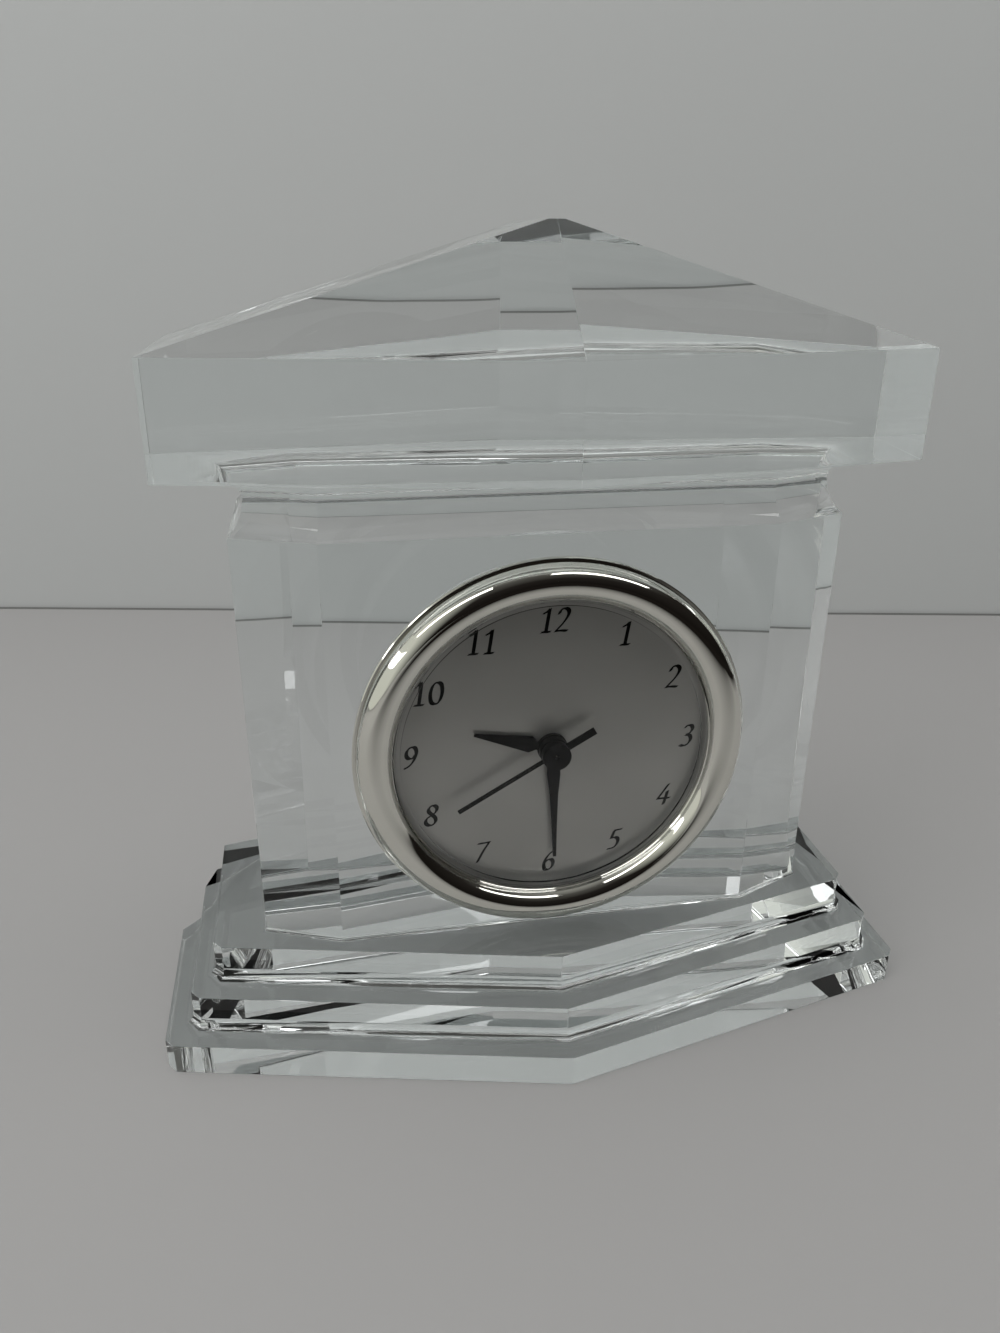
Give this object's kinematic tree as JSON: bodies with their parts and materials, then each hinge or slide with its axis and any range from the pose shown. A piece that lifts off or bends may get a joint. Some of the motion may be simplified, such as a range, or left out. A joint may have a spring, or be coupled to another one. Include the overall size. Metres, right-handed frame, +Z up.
{
  "type": "crystal mantel clock",
  "caption": "Solid glass mantel clock: stepped base, column, low pointed roof, and a round metal-rimmed quartz insert that pulls out of the front.",
  "frame": {"origin": "centre of the base's underside", "axes": "+Z up, -Y out of the dial, +X to the right as the dial is looked at"},
  "size_m": [0.1464, 0.085, 0.1456],
  "materials": {
    "crystal": "polished lead crystal",
    "lens": "clear acrylic",
    "bezel": "polished plating",
    "ring": "polished",
    "dial": "satin",
    "hands": "gloss black",
    "cup": "moulded",
    "gasket": "soft ribbed",
    "plate": "moulded",
    "wheel": "moulded",
    "brass": "turned",
    "steel": "plated",
    "iron": "plain",
    "copper": "enamelled copper wire",
    "board": "laminate",
    "chip": "potting",
    "knob": "moulded"
  },
  "bodies": {
    "crystal": {"crystal_body": "crystal"},
    "insert": {"bezel": "bezel", "lens": "lens", "dial_ring": "ring", "dial": "dial", "case_cup": "cup", "gasket": "gasket", "front_plate": "plate", "rear_plate": "plate", "plate_screws": "steel", "stator": "iron", "coil_core": "iron", "coil_bobbin": "plate", "coil_winding": "copper", "circuit_board": "board", "timing_chip": "chip", "quartz_can": "steel", "cell": "steel", "contact_plus": "steel", "contact_minus": "steel"},
    "minute_hand": {"minute_hand": "hands", "cannon_pinion": "brass"},
    "minute_wheel": {"minute_wheel": "wheel"},
    "hour_hand": {"hour_hand": "hands", "hour_wheel": "brass"},
    "setting": {"setting_shaft": "steel", "setting_knob": "knob"},
    "second_hand": {"second_hand": "hands", "seconds_wheel": "wheel"},
    "intermediate": {"intermediate_wheel": "wheel"},
    "rotor": {"rotor_pinion": "steel", "rotor_magnet": "iron"},
    "third": {"third_wheel": "wheel"},
    "centre": {"centre_wheel": "wheel"},
    "battery_hatch": {"battery_hatch": "knob"}
  },
  "joints": [
    {"name": "insert_slide", "type": "slide", "parent": "crystal", "child": "insert", "axis": [0, -1, 0], "range_m": [0, 0.018]},
    {"name": "minute_turn", "type": "hinge", "parent": "insert", "child": "minute_hand", "pos_m": [0, -0.0198, 0.0576], "axis": [0, 1, 0], "continuous": true},
    {"name": "minute_wheel_turn", "type": "hinge", "parent": "insert", "child": "minute_wheel", "pos_m": [-0.00624, -0.0198, 0.054], "axis": [0, 1, 0], "continuous": true},
    {"name": "hour_turn", "type": "hinge", "parent": "insert", "child": "hour_hand", "pos_m": [0, -0.0198, 0.0576], "axis": [0, 1, 0], "continuous": true},
    {"name": "setting_turn", "type": "hinge", "parent": "insert", "child": "setting", "pos_m": [-0.01247, -0.0198, 0.0504], "axis": [0, 1, 0], "continuous": true},
    {"name": "second_turn", "type": "hinge", "parent": "insert", "child": "second_hand", "pos_m": [0, -0.0198, 0.0576], "axis": [0, 1, 0], "continuous": true},
    {"name": "intermediate_turn", "type": "hinge", "parent": "insert", "child": "intermediate", "pos_m": [0.00762, -0.0198, 0.0532], "axis": [0, 1, 0], "continuous": true},
    {"name": "rotor_turn", "type": "hinge", "parent": "insert", "child": "rotor", "pos_m": [0.01296, -0.0198, 0.05012], "axis": [0, 1, 0], "continuous": true},
    {"name": "third_turn", "type": "hinge", "parent": "insert", "child": "third", "pos_m": [0, -0.0198, 0.06624], "axis": [0, 1, 0], "continuous": true},
    {"name": "centre_turn", "type": "hinge", "parent": "insert", "child": "centre", "pos_m": [0, -0.0198, 0.0576], "axis": [0, 1, 0], "continuous": true},
    {"name": "hatch_turn", "type": "hinge", "parent": "insert", "child": "battery_hatch", "pos_m": [0, -0.0198, 0.0406], "axis": [0, 1, 0], "range_deg": [0, 90]}
  ],
  "couplings": [
    {"joint": "minute_wheel_turn", "follows": "minute_turn", "ratio": -0.33333},
    {"joint": "hour_turn", "follows": "minute_turn", "ratio": 0.083333},
    {"joint": "setting_turn", "follows": "minute_turn", "ratio": 1},
    {"joint": "intermediate_turn", "follows": "second_turn", "ratio": -5},
    {"joint": "rotor_turn", "follows": "second_turn", "ratio": 30},
    {"joint": "third_turn", "follows": "second_turn", "ratio": -0.13333},
    {"joint": "centre_turn", "follows": "second_turn", "ratio": 0.016667}
  ]
}
